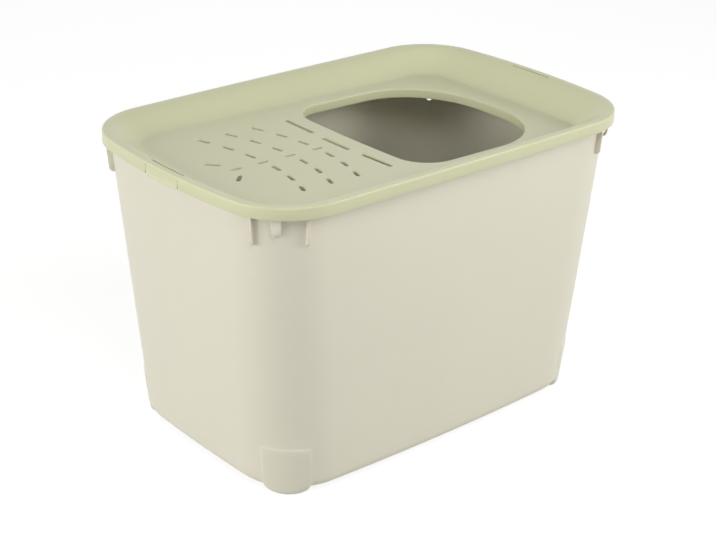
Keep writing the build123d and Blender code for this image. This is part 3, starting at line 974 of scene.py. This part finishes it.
def lid_shell(settings):
    """The whole lid as one closed form."""
    solid = Solid()
    edge_top, edge_under = rim_and_dish(solid, settings)
    thickness = settings.thickness
    holes_top = []
    holes_under = []
    for x, y, angle, size in drain_slots():
        radius = settings.slot_rounding
        loops = [
            sunk_loop(solid, slot_loop(x, y, angle, size, radius * (1 - s)), radius * (1 - c))
            for c, s in arc_steps(3)
        ]
        loops.append(sunk_loop(solid, slot_loop(x, y, angle, size), thickness))
        solid.skin(loops)
        holes_top.append(loops[0])
        holes_under.append(loops[-1])
    radius = settings.lip_rounding
    depth = settings.lip_depth
    half = LIP_THICKNESS / 2
    straight = depth - half
    lip = [sunk_loop(solid, entry_loop(radius * (1 - s)), radius * (1 - c)) for c, s in arc_steps(6)]
    lip += [sunk_loop(solid, entry_loop(half * (1 - c)), straight + half * s) for c, s in arc_steps(3)]
    lip += [sunk_loop(solid, entry_loop(half * (1 + s)), straight + half * c) for c, s in arc_steps(3)[1:]]
    lip.append(sunk_loop(solid, entry_loop(LIP_THICKNESS), thickness))
    solid.skin(lip)

    def underside(x, y):
        """Height of the underside of the tread."""
        return floor_height(x, y) - thickness

    fill(solid, edge_top, [*holes_top, lip[0]], floor_height, TOP_SPACING)
    fill(solid, edge_under, [*holes_under, lip[-1]], underside, UNDERSIDE_SPACING)
    return solid


class AddLid(bpy.types.Operator):
    """Builds the lid with its dished tread, drain slots and entry lip"""

    bl_idname = "litter_box.add_lid"
    bl_label = "Lid"

    def execute(self, context):
        settings = context.scene.litter_box_lid
        material = moulded_plastic("sage_plastic", tuple(settings.colour), settings.roughness, LID_GRAIN)
        mesh = lid_shell(settings).mesh("tread_lid")
        add_piece(context, "tread_lid", mesh, "lid", ["top_lid"], material)
        return {"FINISHED"}


# ---------------------------------------------------------------- latch tabs
TAB_HALF_WIDTH = 31 * MM
TAB_TOP = 372.6 * MM
TAB_LOW = 360.4 * MM
TAB_CORNER = 8 * MM
TAB_COLUMNS = 125
TAB_ROWS = 34
TAB_CLEARANCE = 0.1 * MM
PANEL_EDGE = 0.5
CATCH_HALF_WIDTH = 20 * MM
CATCH_HEIGHT = 3.2 * MM
CATCH_THICKNESS = 3.1 * MM
CATCH_INSET = 2.75 * MM
CATCH_ROUNDING = 0.3 * MM


def tab_relief(y, z, settings):
    """How far a tab's face stands out of the skirt: a border at its sides and bottom, and a sunk panel."""
    inner_y = TAB_HALF_WIDTH - TAB_CORNER
    inner_z = TAB_LOW + TAB_CORNER
    across = max(abs(y) - inner_y, 0)
    down = max(inner_z - z, 0)
    depth = TAB_CORNER - hypot(across, down)
    if across == 0:
        depth = min(depth, z - TAB_LOW)
    share = depth / settings.border
    if share < 1:
        return settings.proud * sqrt(max(1 - (2 * share - 1) ** 2, 0)) - TAB_CLEARANCE
    return -TAB_CLEARANCE - (settings.sunk - TAB_CLEARANCE) * smooth_step((share - 1) / PANEL_EDGE)


def sheet_edge(sheet):
    """Loop round the edge of a sheet of strips."""
    edge = [strip[0] for strip in sheet] + sheet[-1][1:] + [strip[-1] for strip in reversed(sheet[:-1])]
    return edge + list(reversed(sheet[0][1:-1]))


def latch_tab(side, settings):
    """One tab as a thin plate that follows the bow of the skirt, with its catch behind it."""
    solid = Solid()
    end_x = LID.half_length - LID.end
    faces = []
    for back in (False, True):
        sheet = []
        for column in range(TAB_COLUMNS):
            y = TAB_HALF_WIDTH * (2 * column / (TAB_COLUMNS - 1) - 1)
            beyond = max(abs(y) - TAB_HALF_WIDTH + TAB_CORNER, 0)
            low = TAB_LOW + TAB_CORNER - sqrt(max(TAB_CORNER**2 - beyond**2, 0))
            strip = []
            for row in range(TAB_ROWS):
                z = low + (TAB_TOP - low) * row / (TAB_ROWS - 1)
                relief = -SKIRT_THICKNESS if back else tab_relief(y, z, settings)
                x = end_x + sqrt((LID.end + relief) ** 2 - y * y)
                strip.append((side * x, y, z))
            sheet.append(solid.loop(strip))
        solid.skin(sheet, closed=False)
        faces.append(sheet)
    front, back = faces
    solid.bridge(sheet_edge(front), sheet_edge(back))
    half = CATCH_HALF_WIDTH
    catch = [(-half, 0), (half, 0), (half, CATCH_HEIGHT), (-half, CATCH_HEIGHT)]
    catch_x = side * (LID.half_length - CATCH_INSET)
    place = Matrix(((0, 0, 1, catch_x), (1, 0, 0, 0), (0, 1, 0, TAB_LOW), (0, 0, 0, 1)))
    solid.add(bevelled(slab(catch, place, CATCH_THICKNESS), CATCH_ROUNDING))
    return solid


class AddLatches(bpy.types.Operator):
    """Builds the latch tab at each end of the lid"""

    bl_idname = "litter_box.add_latches"
    bl_label = "Latch tabs"

    def execute(self, context):
        settings = context.scene.litter_box_latches
        finish = context.scene.litter_box_lid
        material = moulded_plastic("sage_latch_plastic", tuple(finish.colour), finish.roughness, LID_GRAIN)
        for name, side in ENDS.items():
            piece = f"latch_panel_{name}"
            mesh = latch_tab(side, settings).mesh(piece, 50)
            add_piece(context, piece, mesh, f"{name}_latch", [f"latch_tab_{name}"], material)
        return {"FINISHED"}


# ---------------------------------------------------------------- stage
CAMERA_AIM = Vector((0, 0, 186.83 * MM))
CAMERA_DISTANCE = 2052.81 * MM
CAMERA_AZIMUTH = radians(-40.83)
CAMERA_ELEVATION = radians(24.75)
CAMERA_ROLL = radians(-1.21)
CAMERA_SIDESTEP = (4.2 * MM, 12.9 * MM)
CAMERA_LENS = 83.13
CAMERA_NEAREST = 0.05
CAMERA_FARTHEST = 100
FLOOR_SIZE = 30.0
FLOOR_GLOW = 0.81
FLOOR_MATT = (0.34, 0.34, 0.335, 1)
ZENITH_LOSS = 0.95

# name, setting of its power, place, point it faces, and size
LIGHTS = (
    ("key_light", "key", (-2.75, 0.6, 1.0), (0, 0, 0.2), 1.6),
    ("fill_light", "fill", (1.2, -1.6, 1.0), (0, 0, 0.2), 1.0),
    ("top_light", "top", (-0.5, -0.85, 1.3), (0.05, 0, 0.3), 0.5),
    ("back_light", "back", (1.1, 1.5, 1.1), (0, 0, 0.36), 1.5),
)


def add_camera(context):
    """Camera above and in front of the left-hand corner."""
    azimuth, elevation = CAMERA_AZIMUTH, CAMERA_ELEVATION
    back = Vector((sin(azimuth) * cos(elevation), -cos(azimuth) * cos(elevation), sin(elevation)))
    right = Vector((cos(azimuth), sin(azimuth), 0))
    above = back.cross(right)
    turned_right = right * cos(CAMERA_ROLL) - above * sin(CAMERA_ROLL)
    turned_above = right * sin(CAMERA_ROLL) + above * cos(CAMERA_ROLL)
    place = Matrix((turned_right, turned_above, back)).transposed().to_4x4()
    aside, below = CAMERA_SIDESTEP
    place.translation = CAMERA_AIM + back * CAMERA_DISTANCE - turned_right * aside - turned_above * below
    data = bpy.data.cameras.new("camera")
    data.lens = CAMERA_LENS
    data.clip_start = CAMERA_NEAREST
    data.clip_end = CAMERA_FARTHEST
    camera = bpy.data.objects.new("camera", data)
    camera.matrix_world = place
    context.scene.collection.objects.link(camera)
    context.scene.camera = camera


def shown_white(tree, hidden, shown):
    """Swaps a surface for another one where the camera, a reflection or clear plastic looks at it."""
    rays = tree.add("ShaderNodeLightPath").socket.node.outputs
    seen = Value(tree, rays["Is Camera Ray"]) + Value(tree, rays["Is Glossy Ray"])
    seen = seen + Value(tree, rays["Is Transmission Ray"])
    return tree.add("ShaderNodeMixShader", None, {0: seen, 1: hidden, 2: shown})


def add_floor(context, settings):
    """Pale floor that shows as white, with the shadow of the box on it."""
    form = bmesh.new()
    bmesh.ops.create_grid(form, x_segments=1, y_segments=1, size=FLOOR_SIZE / 2)
    mesh = bpy.data.meshes.new("floor")
    form.to_mesh(mesh)
    form.free()
    floor = bpy.data.objects.new("floor", mesh)
    context.scene.collection.objects.link(floor)
    material = bpy.data.materials.new("pale_floor")
    tree = Tree(material)
    plain = tree.add("ShaderNodeBsdfDiffuse", None, {"Color": (*settings.floor_colour, 1)})
    glow = tree.add("ShaderNodeEmission", None, {"Color": WHITE, "Strength": FLOOR_GLOW})
    matt = tree.add("ShaderNodeBsdfDiffuse", None, {"Color": FLOOR_MATT})
    white = tree.add("ShaderNodeAddShader", None, {0: glow, 1: matt})
    tree.add("ShaderNodeOutputMaterial", None, {"Surface": shown_white(tree, plain, white)})
    mesh.materials.append(material)


def add_sky(context, settings):
    """Light from all round that is weaker from above, and white behind the box."""
    world = bpy.data.worlds.new("studio")
    context.scene.world = world
    tree = Tree(world)
    way = tree.add("ShaderNodeTexCoord", output="Generated")
    up = tree.add("ShaderNodeSeparateXYZ", None, {"Vector": way}, "Z")
    strength = settings.daylight * (1 - ZENITH_LOSS * up)
    light = tree.add("ShaderNodeBackground", None, {"Color": WHITE, "Strength": strength})
    white = tree.add("ShaderNodeBackground", None, {"Color": WHITE, "Strength": 1.0})
    tree.add("ShaderNodeOutputWorld", None, {"Surface": shown_white(tree, light, white)})


def add_softbox(context, name, place, aim, size, power):
    """Square soft light that faces a point."""
    data = bpy.data.lights.new(name, "AREA")
    data.shape = "SQUARE"
    data.size = size
    data.energy = power
    light = bpy.data.objects.new(name, data)
    light.location = place
    light.rotation_mode = "QUATERNION"
    light.rotation_quaternion = (Vector(aim) - Vector(place)).to_track_quat("-Z", "Y")
    context.scene.collection.objects.link(light)


class AddStage(bpy.types.Operator):
    """Adds the floor, the soft studio light and the camera"""

    bl_idname = "litter_box.add_stage"
    bl_label = "Stage"

    def execute(self, context):
        settings = context.scene.litter_box_stage
        add_floor(context, settings)
        add_sky(context, settings)
        for name, power, place, aim, size in LIGHTS:
            add_softbox(context, name, place, aim, size, getattr(settings, power))
        add_camera(context)
        context.scene.view_settings.view_transform = "Standard"
        return {"FINISHED"}


# ---------------------------------------------------------------- add-on
class LitterBoxPanel(bpy.types.Panel):
    """Lists the operators and settings of the litter box"""

    bl_idname = "VIEW3D_PT_litter_box"
    bl_label = "Litter box"
    bl_space_type = "VIEW_3D"
    bl_region_type = "UI"
    bl_category = "Litter box"

    def draw(self, context):
        for group, operator in SECTIONS:
            box = self.layout.box()
            box.operator(operator.bl_idname)
            settings = getattr(context.scene, group)
            for name in settings.__annotations__:
                box.prop(settings, name)


SECTIONS = (
    ("litter_box_bin", AddBin),
    ("litter_box_hooks", AddHooks),
    ("litter_box_lid", AddLid),
    ("litter_box_latches", AddLatches),
    ("litter_box_stage", AddStage),
)
GROUPS = {
    "litter_box_bin": BinSettings,
    "litter_box_hooks": HookSettings,
    "litter_box_lid": LidSettings,
    "litter_box_latches": LatchSettings,
    "litter_box_stage": StageSettings,
}
CLASSES = (*GROUPS.values(), AddBin, AddHooks, AddLid, AddLatches, AddStage, LitterBoxPanel)


def register():
    """Makes the operators, the panel and the settings known to Blender."""
    for item in CLASSES:
        bpy.utils.register_class(item)
    for name, group in GROUPS.items():
        setattr(bpy.types.Scene, name, PointerProperty(type=group))


def unregister():
    """Takes them away again."""
    for name in GROUPS:
        delattr(bpy.types.Scene, name)
    for item in reversed(CLASSES):
        bpy.utils.unregister_class(item)


def main():
    """Builds every piece and the stage."""
    register()
    bpy.ops.litter_box.add_bin()
    bpy.ops.litter_box.add_hooks()
    bpy.ops.litter_box.add_lid()
    bpy.ops.litter_box.add_latches()
    bpy.ops.litter_box.add_stage()


if __name__ == "__main__":
    main()
